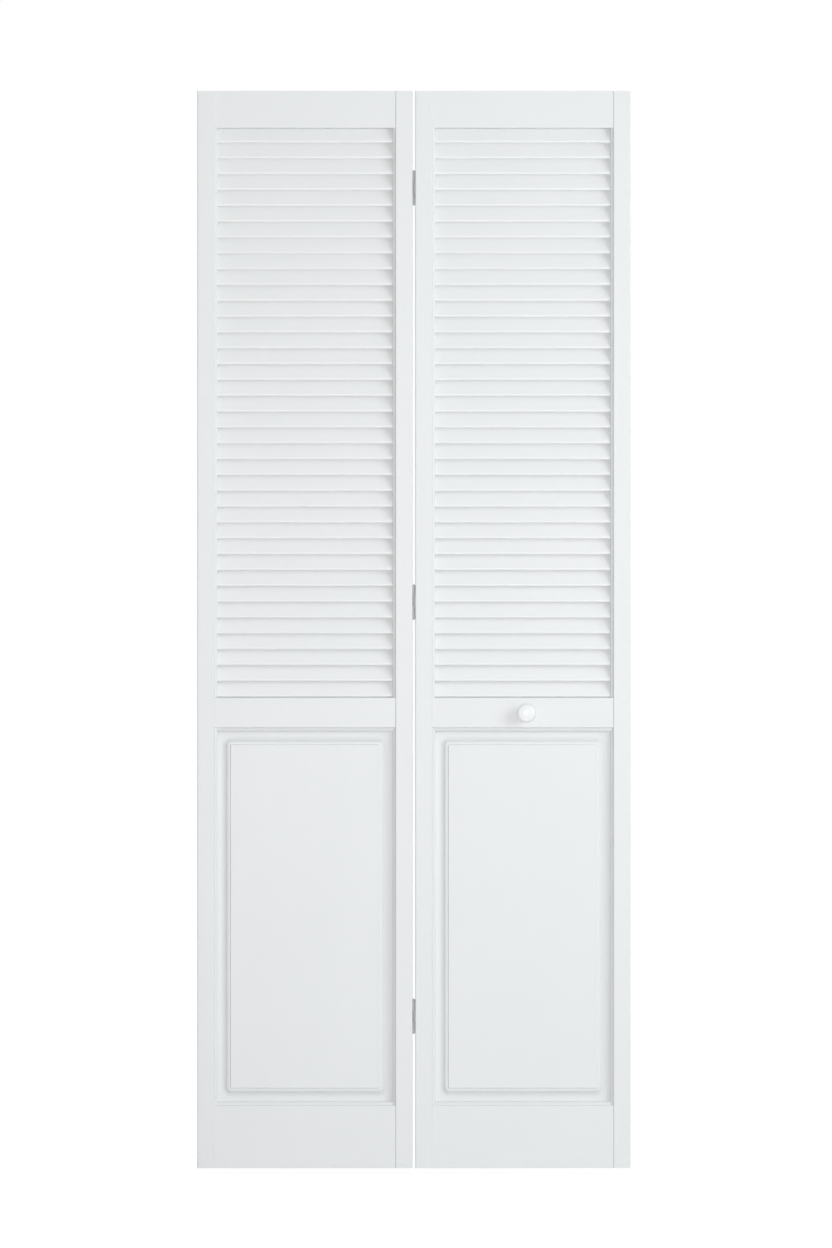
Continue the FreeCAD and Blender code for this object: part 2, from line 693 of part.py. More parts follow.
def make_knob(doc, label):
    """A turned knob with a foot, a waisted neck and a ring cut in its face."""
    body = new_body(
        doc, label, x=KNOB_X, y=f"-{RAIL_FACE_Y}", z=f"{LOCK_RAIL_Z} + {KNOB_RISE}"
    )
    bore = "(knob_screw_diameter / 2 + knob_thread_clearance)"
    rim = "(knob_diameter / 2)"
    neck = "(knob_neck_diameter / 2)"
    ring = "(knob_ring_diameter / 2)"
    face = "(knob_projection - knob_face_rise)"
    half = new_sketch(body, "HalfKnob", "XY_Plane")
    draw_loop(half, [
        ("0", "-(knob_screw_bite + 1)"),
        (bore, "-(knob_screw_bite + 1)"),
        (bore, "0"),
        ("knob_foot_diameter / 2", "0"),
        ("knob_foot_diameter / 2", "-knob_foot_height"),
        (neck, "-knob_foot_height"),
        (neck, "-knob_neck_height"),
        (rim, "-knob_rim_height"),
        (rim, f"knob_rim_width - {face}"),
        (f"{rim} - knob_rim_bevel", f"knob_rim_bevel - {face}"),
        (f"{rim} - knob_rim_width", f"-{face}"),
        (f"{ring} + knob_ring_width / 2", f"-{face}"),
        (ring, f"-({face} - knob_ring_depth)"),
        (f"{ring} - knob_ring_width / 2", f"-{face}"),
        ("0", "-knob_projection"),
    ])
    revolve(body, half, "Y_Axis", "Knob")
    return body


def make_knob_screw(doc, label):
    """A machine screw through the lock rail from the back, into the knob."""
    body = new_body(doc, label, x=KNOB_X, y=RAIL_FACE_Y, z=f"{LOCK_RAIL_Z} + {KNOB_RISE}")
    half = new_sketch(body, "HalfScrew", "XY_Plane")
    draw_loop(half, [
        ("0", "-(rail_thickness + knob_screw_bite)"),
        ("knob_screw_diameter / 2", "-(rail_thickness + knob_screw_bite)"),
        ("knob_screw_diameter / 2", "0"),
        ("knob_screw_head_diameter / 2", "0"),
        ("knob_screw_head_diameter / 2", "knob_screw_head_height"),
        ("0", "knob_screw_head_height"),
    ])
    revolve(body, half, "Y_Axis", "KnobScrew")
    return body


def make_hinges(doc):
    pieces = []
    for index, place in enumerate(("bottom", "middle", "top")):
        hinge_z = f"{FIRST_HINGE_Z} + {index} * {HINGE_SPREAD} / (hinge_count - 1)"
        pieces.append(make_hinge_plate(doc, f"{place}_hinge_pivot_plate", hinge_z, -1, 0))
        pieces.append(make_hinge_plate(doc, f"{place}_hinge_lead_plate", hinge_z, 1, 1))
        pieces.append(make_hinge_pin(doc, f"{place}_hinge_pin", hinge_z))
    pieces.append(make_hinge_screws(doc, "pivot_leaf_hinge_screws", -1))
    pieces.append(make_hinge_screws(doc, "lead_leaf_hinge_screws", 1))
    return pieces


def make_door(doc):
    pivot_pieces, pivot_stile, _ = make_leaf(doc, "pivot_leaf", "(-pivot_inset)", True)
    lead_pieces, _, knob_rail = make_leaf(doc, "lead_leaf", LEAD_LEAF_EDGE, False)
    bore_stile_end(pivot_stile, 1, top=False)
    drill_knob_hole(knob_rail)
    fittings = make_hinges(doc) + [make_knob(doc, "knob"), make_knob_screw(doc, "knob_screw")]
    return pivot_pieces + lead_pieces + fittings


def check(doc, pieces):
    for thing in doc.Objects:
        if "Invalid" in thing.State or "Error" in thing.State:
            raise RuntimeError(f"{thing.Label} failed: {thing.State}")
    for piece in pieces:
        if piece.Shape.isNull() or not piece.Shape.isValid():
            raise RuntimeError(f"{piece.Label} has no valid shape")


def main():
    doc = FreeCAD.newDocument("BifoldClosetDoor")
    fill_sheet(doc)
    pieces = make_door(doc)
    doc.recompute()
    check(doc, pieces)
    os.makedirs("parts", exist_ok=True)
    for piece in pieces:
        piece.Shape.exportStep(f"parts/{piece.Label}.step")
        print(piece.Label, len(piece.Shape.Solids), "solids", round(piece.Shape.Volume), "mm3")


main()
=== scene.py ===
"""Looks of a bifold closet door: two louvre-over-panel leaves of pine, sprayed with white enamel.

The front faces -Y and +Z is up. Every piece is made at its place, in metres.
"""
import math
import random

import bmesh
import bpy
from mathutils import Matrix, Vector


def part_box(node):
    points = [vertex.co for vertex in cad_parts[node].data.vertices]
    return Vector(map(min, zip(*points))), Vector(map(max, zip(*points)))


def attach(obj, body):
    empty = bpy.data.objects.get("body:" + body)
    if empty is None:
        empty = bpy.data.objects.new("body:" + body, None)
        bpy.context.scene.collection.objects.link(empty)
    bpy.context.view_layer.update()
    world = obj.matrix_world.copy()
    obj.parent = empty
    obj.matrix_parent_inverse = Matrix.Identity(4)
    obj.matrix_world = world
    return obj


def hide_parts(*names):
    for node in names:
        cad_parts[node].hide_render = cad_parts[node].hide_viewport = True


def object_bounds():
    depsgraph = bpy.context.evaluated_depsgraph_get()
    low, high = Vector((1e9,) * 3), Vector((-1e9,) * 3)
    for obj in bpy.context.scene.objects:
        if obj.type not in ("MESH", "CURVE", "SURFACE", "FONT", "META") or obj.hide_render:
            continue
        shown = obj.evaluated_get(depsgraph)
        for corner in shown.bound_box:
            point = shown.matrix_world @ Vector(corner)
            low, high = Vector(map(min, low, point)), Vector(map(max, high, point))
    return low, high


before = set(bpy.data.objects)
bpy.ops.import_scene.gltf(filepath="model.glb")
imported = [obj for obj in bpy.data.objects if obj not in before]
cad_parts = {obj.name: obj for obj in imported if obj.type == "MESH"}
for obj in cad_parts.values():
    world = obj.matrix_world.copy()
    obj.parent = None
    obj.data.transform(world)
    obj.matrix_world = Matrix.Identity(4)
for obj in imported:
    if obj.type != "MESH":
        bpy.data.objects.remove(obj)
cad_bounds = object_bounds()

MM = 0.001
WELD = 0.001 * MM
TOUCH = 0.0001 * MM

# stiles and rails, and the moulding round their inner edges: flat face, sloping quirk, ovolo
STILE_HALF_THICKNESS = 17.5 * MM
INNER_EDGE_Y = 11.1 * MM
STILE_MOULDING = (6.4 * MM, 3.6 * MM, 13.5 * MM)
RAIL_MOULDING = (7.6 * MM, 5.6 * MM, 13.2 * MM)
EDGE_ROUNDING = 2 * MM
ARRIS_ROUNDING = 0.45 * MM
PAINT_ROUNDING = 0.35 * MM
OVOLO_FULLNESS = 0.9

# joinery
OVERRUN = 2 * MM
COPE_GAP = 0.1 * MM
TENON_THICKNESS = 10 * MM
TENON_LENGTH = 20 * MM
TENON_GAP = 0.5 * MM
TENON_WEB = 4 * MM
GROOVE_DEPTH = 8 * MM
GROOVE_WIDTH = 6.4 * MM
PANEL_PLAY = 1 * MM
BORE_DEPTH = 32 * MM
BORE_RADIUS = 4.75 * MM
PIVOT_INSET = 22 * MM
RAIL_CLEAR_Y = 19 * MM

# louvre, and the rails' edges below and above it
SLAT_COUNT = 36
SLAT_WIDTH = 36 * MM
SLAT_THICKNESS = 6 * MM
SLAT_NOSE_ROUNDING = 2.95 * MM
SLAT_TILT = math.radians(60)
SLAT_TILT_SCATTER = math.radians(0.25)
SLAT_HALF_RISE = 16.19 * MM
SLAT_ARC_STEPS = 4
MORTISE_GAP = 0.15 * MM
MORTISE_DEPTH = 10 * MM
SILL_DEPTH = 0.7 * MM
SILL_RIDGE = 0.9 * MM
SILL_WALL = -4.2 * MM
REBATE_WALL = 2.4 * MM
REBATE_HEIGHT = 5.6 * MM

# raised panel, from its field outwards
FIELD_INSET = 31.5 * MM
FIELD_CORNER = 1.5 * MM
FIELD_STEP = 2 * MM
STEP_SLOPE = 1 * MM
BEAD_WIDTH = 7.5 * MM
BEAD_STEP = 1.4 * MM
BEAD_ROUNDING = 2.8 * MM
BEAD_CREST = 0.62
COVE_WIDTH = 10 * MM
COVE_RISE = 1.9 * MM
COVE_ROUNDING = 4 * MM
COVE_FOOT = 0.45
CORNER_STEPS = 6
TONGUE_THICKNESS = 6 * MM

# hinges and their screws
KNUCKLE_RADIUS = 3.2 * MM
KNUCKLE_COUNT = 3
KNUCKLE_GAP = 0.3 * MM
NOTCH_GAP = 0.4 * MM
PLATE_THICKNESS = 1.6 * MM
PLATE_CORNER = 2.5 * MM
PLATE_EDGE_ROUNDING = 0.2 * MM
PIN_RADIUS = 1.6 * MM
PIN_CLEARANCE = 0.05 * MM
PIN_TIP = 1 * MM
PIN_DOME = 0.7 * PIN_RADIUS
SCREW_RISE = 14 * MM
SCREW_PITCH = 36 * MM
SCREW_RADIUS = 1.75 * MM
SCREW_HEAD_RADIUS = SCREW_RADIUS + PLATE_THICKNESS
SCREW_LENGTH = 19 * MM
SCREW_SHANK = 0.75 * SCREW_LENGTH
SCREW_CROSS = (3.6 * MM, 0.8 * MM, 1.1 * MM)

# knob, with its heights taken from the rail outwards
KNOB_FOOT_RADIUS = 10 * MM
KNOB_FOOT_HEIGHT = 3 * MM
KNOB_NECK_RADIUS = 6.6 * MM
KNOB_NECK_RISE = (3.6 * MM, 11 * MM)
KNOB_RIM_RISE = (18.4 * MM, 24 * MM)
KNOB_RING_RADII = (11.6 * MM, 10.8 * MM, 9.6 * MM, 8.8 * MM)
KNOB_RING_DEPTH = 0.4 * MM
KNOB_RING_LIP = 0.2 * MM
KNOB_CROWN_RADIUS = 4 * MM
KNOB_FACE_RISE = 0.8 * MM
KNOB_BORE_RADIUS = 2.05 * MM
KNOB_BORE_DEPTH = 14 * MM
KNOB_HOLE_RADIUS = 2.25 * MM
KNOB_SCREW_RADIUS = 2 * MM
KNOB_SCREW_HEAD = 2.4 * MM
KNOB_SCREW_CROSS = (4.6 * MM, 1 * MM, 1.5 * MM)

# stage
IMAGE_WIDTH = 832
IMAGE_HEIGHT = 1248
DOOR_LEFT_PIXEL = 197.3
DOOR_TOP_PIXEL = 90.9
DOOR_BOTTOM_PIXEL = 1168.2
CAMERA_DISTANCE = 16.0
FLOOR_DROP = 12 * MM
FLOOR_REACH = 40.0
DOOR_CENTRE_X = (cad_bounds[0][0] + cad_bounds[1][0]) / 2
DOOR_CENTRE_Z = (cad_bounds[0][2] + cad_bounds[1][2]) / 2
FILL_LEVEL = 0.39
FILL_LEAN = (0.35, 0.0, 0.4)
FLOOR_TONE = 0.74
FLOOR_PAPER = 0.35
FLOOR_GLOW = 0.84
KEY_POWER = 58.0
FRONT_POWER = 192.0


# ---------------------------------------------------------------- shaping

# how a place across, up and along a section lies in x, y and z, by the axis that it runs along
PLANES = {
    "X": lambda a, b, along: (along, a, b),
    "Y": lambda a, b, along: (a, along, b),
    "Z": lambda a, b, along: (a, b, along),
}


def draw_section(bm, corners, axis, along=0.0, segments=5):
    """Draw a flat face across an axis. Its corners are (across, up) or (across, up, rounding)."""
    place = PLANES[axis]
    points = [bm.verts.new(place(c[0], c[1], along)) for c in corners]
    bm.faces.new(points)
    for point, corner in zip(points, corners):
        if len(corner) == 3:
            bmesh.ops.bevel(
                bm, geom=[point], offset=corner[2], offset_type="OFFSET", segments=segments,
                profile=0.5, affect="VERTICES", material=-1, clamp_overlap=True,
            )


def close_up(bm):
    """Merge what coincides and turn every face outwards."""
    bmesh.ops.remove_doubles(bm, verts=bm.verts, dist=WELD)
    bmesh.ops.recalc_face_normals(bm, faces=bm.faces)
    return bm


def moulding(corners, axis, start, end, segments=5):
    """A section run straight along an axis from start to end."""
    bm = bmesh.new()
    draw_section(bm, corners, axis, start, segments)
    faces = bm.faces[:]
    grown = bmesh.ops.extrude_face_region(bm, geom=faces, use_keep_orig=True)
    moved = [item for item in grown["geom"] if isinstance(item, bmesh.types.BMVert)]
    bmesh.ops.translate(bm, verts=moved, vec=Vector(PLANES[axis](0, 0, end - start)))
    return close_up(bm)


def block(low, high):
    """A plain box between two corners, used as a cutter or a core."""
    bm = bmesh.new()
    bmesh.ops.create_cube(bm, size=1.0)
    bmesh.ops.scale(bm, verts=bm.verts, vec=Vector(high) - Vector(low))
    bmesh.ops.translate(bm, verts=bm.verts, vec=(Vector(high) + Vector(low)) / 2)
    return bm


def cone(centre, direction, radius_start, radius_end, length, segments=48):
    """A cone or cylinder that starts at a point and runs in a direction."""
    bm = bmesh.new()
    bmesh.ops.create_cone(
        bm, cap_ends=True, segments=segments, radius1=radius_start, radius2=radius_end,
        depth=length,
    )
    bmesh.ops.translate(bm, verts=bm.verts, vec=(0, 0, length / 2))
    turn = Vector(direction).to_track_quat("Z", "Y").to_matrix()
    bmesh.ops.rotate(bm, verts=bm.verts, matrix=turn)
    bmesh.ops.translate(bm, verts=bm.verts, vec=centre)
    return bm


def turning(corners, centre, direction, steps):
    """A half section, drawn as (radius, height, rounding) and spun about a direction."""
    bm = bmesh.new()
    draw_section(bm, corners, "Y")
    bmesh.ops.delete(bm, geom=bm.faces, context="FACES_ONLY")
    on_axis = [e for e in bm.edges if all(abs(v.co.x) < TOUCH for v in e.verts)]
    bmesh.ops.delete(bm, geom=on_axis, context="EDGES")
    bmesh.ops.spin(
        bm, geom=bm.verts[:] + bm.edges[:], cent=(0, 0, 0), axis=(0, 0, 1), dvec=(0, 0, 0),
        angle=2 * math.pi, steps=steps, use_merge=True, use_duplicate=False,
    )
    close_up(bm)
    turn = Vector(direction).to_track_quat("Z", "Y").to_matrix()
    bmesh.ops.rotate(bm, verts=bm.verts, matrix=turn)
    bmesh.ops.translate(bm, verts=bm.verts, vec=centre)
    return bm


def gather(pieces):
    """Several bmeshes as one."""
    whole = bmesh.new()
    for bm in pieces:
        mesh = bpy.data.meshes.new("gathered")
        bm.to_mesh(mesh)
        whole.from_mesh(mesh)
        bpy.data.meshes.remove(mesh)
    return whole


def as_object(name, bm):
    mesh = bpy.data.meshes.new(name)
    bm.to_mesh(mesh)
    thing = bpy.data.objects.new(name, mesh)
    bpy.context.scene.collection.objects.link(thing)
    return thing


def combine(bm, operation, other):
    """Cut, join or intersect one closed shape with another."""
    piece = as_object("shape", bm)
    tool = as_object("tool", other)
    step = piece.modifiers.new("Combine", "BOOLEAN")
    step.operation = operation
    step.solver = "EXACT"
    step.use_self = True
    step.object = tool
    shaped = bmesh.new()
    shaped.from_object(piece, bpy.context.evaluated_depsgraph_get())
    for thing in (piece, tool):
        mesh = thing.data
        bpy.data.objects.remove(thing)
        bpy.data.meshes.remove(mesh)
    bmesh.ops.remove_doubles(shaped, verts=shaped.verts, dist=TOUCH)
    return shaped


def finish_piece(node, bm, body, material, sharp_angle=28, bevel=0.0):
    """Show a shape in place of a node: smooth where it curves and crisp at its corners."""
    piece = as_object(f"{node}_finished", bm)
    piece.data.materials.append(material)
    piece.data.shade_smooth()
    piece.data.set_sharp_from_angle(angle=math.radians(sharp_angle))
    if bevel:
        ease = piece.modifiers.new("EasedEdges", "BEVEL")
        ease.width = bevel
        ease.segments = 2
        ease.limit_method = "ANGLE"
        ease.angle_limit = math.radians(40)
        ease.harden_normals = True
    even = piece.modifiers.new("EvenShading", "WEIGHTED_NORMAL")
    even.keep_sharp = True
    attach(piece, body)
    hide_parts(node)


# ---------------------------------------------------------------- materials

def linear(hex_colour):
    """An sRGB hex colour as linear red, green, blue and alpha."""
    parts = [int(hex_colour[i:i + 2], 16) / 255 for i in (1, 3, 5)]
    return [p / 12.92 if p <= 0.04045 else ((p + 0.055) / 1.055) ** 2.4 for p in parts] + [1.0]


def per_metre(size_mm):
    """How many features of a size in millimetres fit in a metre."""
    return 1.0 / (size_mm * MM)


def add(tree, kind, settings=(), **inputs):
    """Add a node. An input given as a socket is linked, and anything else is its value."""
    made = tree.nodes.new(kind)
    for name, value in dict(settings).items():
        setattr(made, name, value)
    for name, value in inputs.items():
        socket = made.inputs[name.replace("_", " ")]
        if isinstance(value, bpy.types.NodeSocket):
            tree.links.new(value, socket)
        else:
            socket.default_value = value
    return made


def new_material(name):
    material = bpy.data.materials.new(name)
    material.use_nodes = True
    material.node_tree.nodes.clear()
    return material, material.node_tree


def colour_between(tree, share, colours):
    """A colour that drifts between two hex colours, as a share from 0 to 1."""
    drift = add(tree, "ShaderNodeMix", {"data_type": "RGBA"}, Factor=share)
    for socket, colour in zip([s for s in drift.inputs if s.type == "RGBA"], colours):
        socket.default_value = linear(colour)
    return next(s for s in drift.outputs if s.type == "RGBA")


def sprayed_enamel(name, grain_axis, colours, gloss_roughness):
    """White enamel sprayed over sanded pine: a low satin sheen, the faint orange peel of the
    gun, and the softer rings of the wood sunk a hair's breadth along the grain. The two colours
    drift into each other over a hand's breadth."""
    material, tree = new_material(name)
    place = add(tree, "ShaderNodeTexCoord").outputs["Object"]
    ring_mm, run_mm, peel_mm, drift_mm = 2.6, 240.0, 1.6, 180.0
    sheen_spread = 0.04
    stretch = {
        "X": (per_metre(run_mm), per_metre(ring_mm), per_metre(ring_mm)),
        "Z": (per_metre(ring_mm), per_metre(ring_mm), per_metre(run_mm)),
    }[grain_axis]
    along = add(tree, "ShaderNodeMapping", Vector=place, Scale=stretch).outputs["Vector"]
    grain = add(tree, "ShaderNodeTexNoise", Vector=along, Scale=1.0, Detail=3.0, Roughness=0.55)
    peel = add(
        tree, "ShaderNodeTexNoise", Vector=place, Scale=per_metre(peel_mm), Detail=2.0,
        Roughness=0.5,
    )
    drift = add(
        tree, "ShaderNodeTexNoise", Vector=place, Scale=per_metre(drift_mm), Detail=1.0,
        Roughness=0.4,
    )
    tint = colour_between(tree, drift.outputs["Fac"], colours)
    sheen = add(
        tree, "ShaderNodeMapRange", Value=grain.outputs["Fac"],
        To_Min=gloss_roughness - sheen_spread, To_Max=gloss_roughness + sheen_spread,
    )
    rings = add(
        tree, "ShaderNodeBump", Height=grain.outputs["Fac"], Strength=0.35, Distance=0.12 * MM
    )
    skin = add(
        tree, "ShaderNodeBump", Height=peel.outputs["Fac"], Normal=rings.outputs["Normal"],
        Strength=0.25, Distance=0.05 * MM,
    )
    paint = add(
        tree, "ShaderNodeBsdfPrincipled", Base_Color=tint,
        Roughness=sheen.outputs["Result"], Normal=skin.outputs["Normal"], IOR=1.5,
    )
    add(tree, "ShaderNodeOutputMaterial", Surface=paint.outputs["BSDF"])
    return material


def powder_coated_steel(name, colour):
    """Pressed steel with a baked powder coat: an even, fine pebble and a satin sheen."""
    material, tree = new_material(name)
    place = add(tree, "ShaderNodeTexCoord").outputs["Object"]
    pebble = add(
        tree, "ShaderNodeTexNoise", Vector=place, Scale=per_metre(0.6), Detail=2.0, Roughness=0.6
    )
    sheen = add(
        tree, "ShaderNodeMapRange", Value=pebble.outputs["Fac"], To_Min=0.34, To_Max=0.46
    )
    skin = add(
        tree, "ShaderNodeBump", Height=pebble.outputs["Fac"], Strength=0.3, Distance=0.04 * MM
    )
    coat = add(
        tree, "ShaderNodeBsdfPrincipled", Base_Color=linear(colour),
        Roughness=sheen.outputs["Result"], Normal=skin.outputs["Normal"], IOR=1.5,
    )
    add(tree, "ShaderNodeOutputMaterial", Surface=coat.outputs["BSDF"])
    return material


def zinc_plated_steel(name):
    """Bright zinc over drawn steel: cool grey, with fine drawing lines and cloudy patches."""
    material, tree = new_material(name)
    place = add(tree, "ShaderNodeTexCoord").outputs["Object"]
    cloud = add(
        tree, "ShaderNodeTexNoise", Vector=place, Scale=per_metre(3), Detail=3.0, Roughness=0.6
    )
    tint = colour_between(tree, cloud.outputs["Fac"], ("#C9CCCF", "#AEB2B6"))
    sheen = add(
        tree, "ShaderNodeMapRange", Value=cloud.outputs["Fac"], To_Min=0.24, To_Max=0.4
    )
    metal = add(
        tree, "ShaderNodeBsdfPrincipled", Base_Color=tint, Metallic=1.0,
        Roughness=sheen.outputs["Result"],
    )
    add(tree, "ShaderNodeOutputMaterial", Surface=metal.outputs["BSDF"])
    return material


# The slats' enamel is a shade lighter than the frame's. This is painted light that makes up for
# the light the slats lose by leaning back from the lamps. The knob's enamel is paler too, and the
# slats have less sheen.
FRAME_WHITE = ("#E1E2E3", "#DFE0E1")
SLAT_WHITE_WITH_PAINTED_LIGHT = ("#F1F1F2", "#EFF0F0")
# The knob's paler enamel is a painted highlight, standing in for the light its rounded head
# catches.
KNOB_WHITE_WITH_PAINTED_HIGHLIGHT = ("#ECEDEE", "#EAEBEC")
stile_enamel = sprayed_enamel("enamel_on_upright_pine", "Z", FRAME_WHITE, 0.42)
rail_enamel = sprayed_enamel("enamel_on_level_pine", "X", FRAME_WHITE, 0.42)
panel_enamel = sprayed_enamel("enamel_on_panel_pine", "Z", FRAME_WHITE, 0.42)
slat_enamel = sprayed_enamel("enamel_on_slat_pine", "X", SLAT_WHITE_WITH_PAINTED_LIGHT, 0.5)
knob_enamel = sprayed_enamel("enamel_on_turned_birch", "X", KNOB_WHITE_WITH_PAINTED_HIGHLIGHT, 0.38)
hinge_coat = powder_coated_steel("powder_coated_steel", "#F3F4F5")
zinc = zinc_plated_steel("zinc_plated_steel")


# ---------------------------------------------------------------- leaves

def sticking(edge, outwards, face_y, sizes, gap=0.0):
    """Section corners of a moulded edge, from the arris of the flat face out to the edge: a
    sloping quirk, then an ovolo. The sizes are the whole width, the ovolo's width and how far
    the quirk's foot lies off the middle. With a gap, the corners cope over such an edge."""
    side = math.copysign(1, face_y)
    whole, ovolo, quirk_y = sizes
    drop = quirk_y - INNER_EDGE_Y
    slope = math.atan2(drop, ovolo)
    tangent = math.hypot(ovolo, drop) / 2 / math.cos(slope)
    quirk_foot = edge - outwards * ovolo
    return [
        (edge - outwards * whole, face_y, ARRIS_ROUNDING),
        (quirk_foot, side * (quirk_y + gap)),
        (quirk_foot + outwards * tangent, side * (quirk_y + gap), OVOLO_FULLNESS * tangent),
        (edge, side * (INNER_EDGE_Y + gap), PAINT_ROUNDING),
    ]


def swapped(corners):
    """Section corners with across and up exchanged."""
    return [(c[1], c[0], *c[2:]) for c in corners]


def slat_run(node, left, right, gap=0.0, scatter=0.0):
    """Every slat of a leaf from left to right, or with a gap the cutters of their mortises."""
    low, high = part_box(node)
    first = low.z + SLAT_HALF_RISE
    pitch = (high.z - low.z - 2 * SLAT_HALF_RISE) / (SLAT_COUNT - 1)
    chance = random.Random(round(low.x / MM))
    across = SLAT_WIDTH / 2 + gap
    out = SLAT_THICKNESS / 2 + gap
    section = [
        (x, y, SLAT_NOSE_ROUNDING)
        for x, y in ((-across, -out), (across, -out), (across, out), (-across, out))
    ]
    slats = []
    for index in range(SLAT_COUNT):
        slat = moulding(section, "X", left, right, segments=SLAT_ARC_STEPS)
        tilt = SLAT_TILT + chance.uniform(-scatter, scatter)
        bmesh.ops.rotate(slat, verts=slat.verts, matrix=Matrix.Rotation(tilt, 3, "X"))
        bmesh.ops.translate(slat, verts=slat.verts, vec=(0, 0, first + index * pitch))
        slats.append(slat)
    return gather(slats)


def tenon_rise(leaf, name):
    """The height range of a rail's tenon, clear of the panel's groove and the pivot's bore."""
    low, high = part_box(f"{leaf}_{name}")
    past_groove = GROOVE_DEPTH + TENON_WEB
    past_bore = BORE_DEPTH + TENON_WEB
    return {
        "top_rail": (low.z + past_groove, high.z - past_bore),
        "lock_rail": (low.z + past_groove, high.z - past_groove),
        "bottom_rail": (low.z + past_bore, high.z - past_groove),
    }[name]


def screw_places(leaf):
    """Where the hinge screws of a leaf enter the plates: x, and each height."""
    low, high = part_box(f"{leaf}_hinge_screws")
    heights = []
    for place in ("bottom", "middle", "top"):
        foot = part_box(f"{place}_hinge_pin")[0].z + PIN_TIP
        heights += [foot + SCREW_RISE, foot + SCREW_RISE + SCREW_PITCH]
    return (low.x + high.x) / 2, heights


def stile(leaf, name, hand):
    """A full-height stile. Hand is the way from its plain edge to its moulded edge."""
    low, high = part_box(f"{leaf}_{name}")
    plain, inner = (low.x, high.x) if hand > 0 else (high.x, low.x)
    front = [(plain, low.y, EDGE_ROUNDING)] + sticking(inner, hand, low.y, STILE_MOULDING)
    back = [(plain, high.y, EDGE_ROUNDING)] + sticking(inner, hand, high.y, STILE_MOULDING)
    bm = moulding(front + back[::-1], "Z", low.z, high.z)

    def cut_across(depth):
        return sorted((inner - hand * depth, inner + hand * OVERRUN))

    def cutter(depth, half_width, bottom, top):
        left, right = cut_across(depth)
        return block((left, -half_width, bottom), (right, half_width, top))

    cuts = [slat_run(f"{leaf}_louvre_slats", *cut_across(MORTISE_DEPTH), gap=MORTISE_GAP)]
    for rail_name in ("top_rail", "lock_rail", "bottom_rail"):
        bottom, top = tenon_rise(leaf, rail_name)
        cuts.append(cutter(
            TENON_LENGTH + TENON_GAP, TENON_THICKNESS / 2 + COPE_GAP, bottom - COPE_GAP,
            top + COPE_GAP,
        ))
    panel_low, panel_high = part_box(f"{leaf}_raised_panel")
    cuts.append(cutter(
        GROOVE_DEPTH, GROOVE_WIDTH / 2, panel_low.z - PANEL_PLAY, panel_high.z + PANEL_PLAY
    ))
    if name == "outer_stile":
        ends = [(high.z, 1)] if leaf == "lead_leaf" else [(high.z, 1), (low.z, -1)]
        for z, outwards in ends:
            cuts.append(cone(
                (plain + hand * PIVOT_INSET, 0, z + outwards * OVERRUN), (0, 0, -outwards),
                BORE_RADIUS, BORE_RADIUS, BORE_DEPTH + OVERRUN,
            ))
    else:
        x, heights = screw_places(leaf)
        for z in heights:
            cuts.append(cone(
                (x, high.y + OVERRUN, z), (0, -1, 0), SCREW_RADIUS, SCREW_RADIUS,
                SCREW_LENGTH + OVERRUN, segments=16,
            ))
    bm = combine(bm, "DIFFERENCE", gather(cuts))
    finish_piece(f"{leaf}_{name}", bm, leaf, stile_enamel)


def coped_end(inner, outwards):
    """Plan corners of a rail's end, from front to back, coped over the stile's moulding."""
    end = inner - outwards * COPE_GAP
    whole, ovolo, quirk_y = STILE_MOULDING
    slope = (whole - ovolo) / (STILE_HALF_THICKNESS - quirk_y)
    sizes = (whole + slope * (RAIL_CLEAR_Y - STILE_HALF_THICKNESS), ovolo, quirk_y)
    front = sticking(end, -outwards, -RAIL_CLEAR_Y, sizes, COPE_GAP)
    back = sticking(end, -outwards, RAIL_CLEAR_Y, sizes, COPE_GAP)
    return front + back[::-1]


def rail(leaf, name, section):
    """A rail: its section run across the leaf, coped at both ends, with a tenon at each."""
    low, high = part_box(f"{leaf}_{name}")
    left, right = low.x + TENON_LENGTH, high.x - TENON_LENGTH
    lap = 2 * STILE_MOULDING[0]
    run = moulding(section, "X", left - lap, right + lap)
    plan = moulding(
        coped_end(right, 1) + coped_end(left, -1)[::-1], "Z", low.z - OVERRUN, high.z + OVERRUN
    )
    bm = combine(run, "INTERSECT", plan)
    bottom, top = tenon_rise(leaf, name)
    tenon = block((low.x, -TENON_THICKNESS / 2, bottom), (high.x, TENON_THICKNESS / 2, top))
    bm = combine(bm, "UNION", tenon)
    if leaf == "lead_leaf" and name == "lock_rail":
        screw_low, screw_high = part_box("knob_screw")
        centre = (screw_low + screw_high) / 2
        hole = cone((centre.x, low.y - OVERRUN, centre.z), (0, 1, 0), KNOB_HOLE_RADIUS,
                    KNOB_HOLE_RADIUS, high.y - low.y + 2 * OVERRUN)
        bm = combine(bm, "DIFFERENCE", hole)
    finish_piece(f"{leaf}_{name}", bm, leaf, rail_enamel)


def panel_edge(low, high, edge_z, inwards):
    """A rail's edge on the panel, front to back: moulding, groove for the tongue, moulding.
    Inwards is the way from the edge into the rail."""
    floor = edge_z + inwards * GROOVE_DEPTH
    wall = GROOVE_WIDTH / 2
    front = swapped(sticking(edge_z, -inwards, low.y, RAIL_MOULDING))
    back = swapped(sticking(edge_z, -inwards, high.y, RAIL_MOULDING))
    return front + [(-wall, edge_z), (-wall, floor), (wall, floor), (wall, edge_z)] + back[::-1]


def top_rail(leaf):
    """The top rail, rebated behind its lower edge for the highest slat."""
    low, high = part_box(f"{leaf}_top_rail")
    ceiling = low.z + REBATE_HEIGHT
    rail(leaf, "top_rail", [
        (low.y, high.z, PAINT_ROUNDING), (low.y, low.z, PAINT_ROUNDING),
        (REBATE_WALL, low.z, PAINT_ROUNDING), (REBATE_WALL, ceiling),
        (high.y, ceiling, PAINT_ROUNDING), (high.y, high.z, PAINT_ROUNDING),
    ])


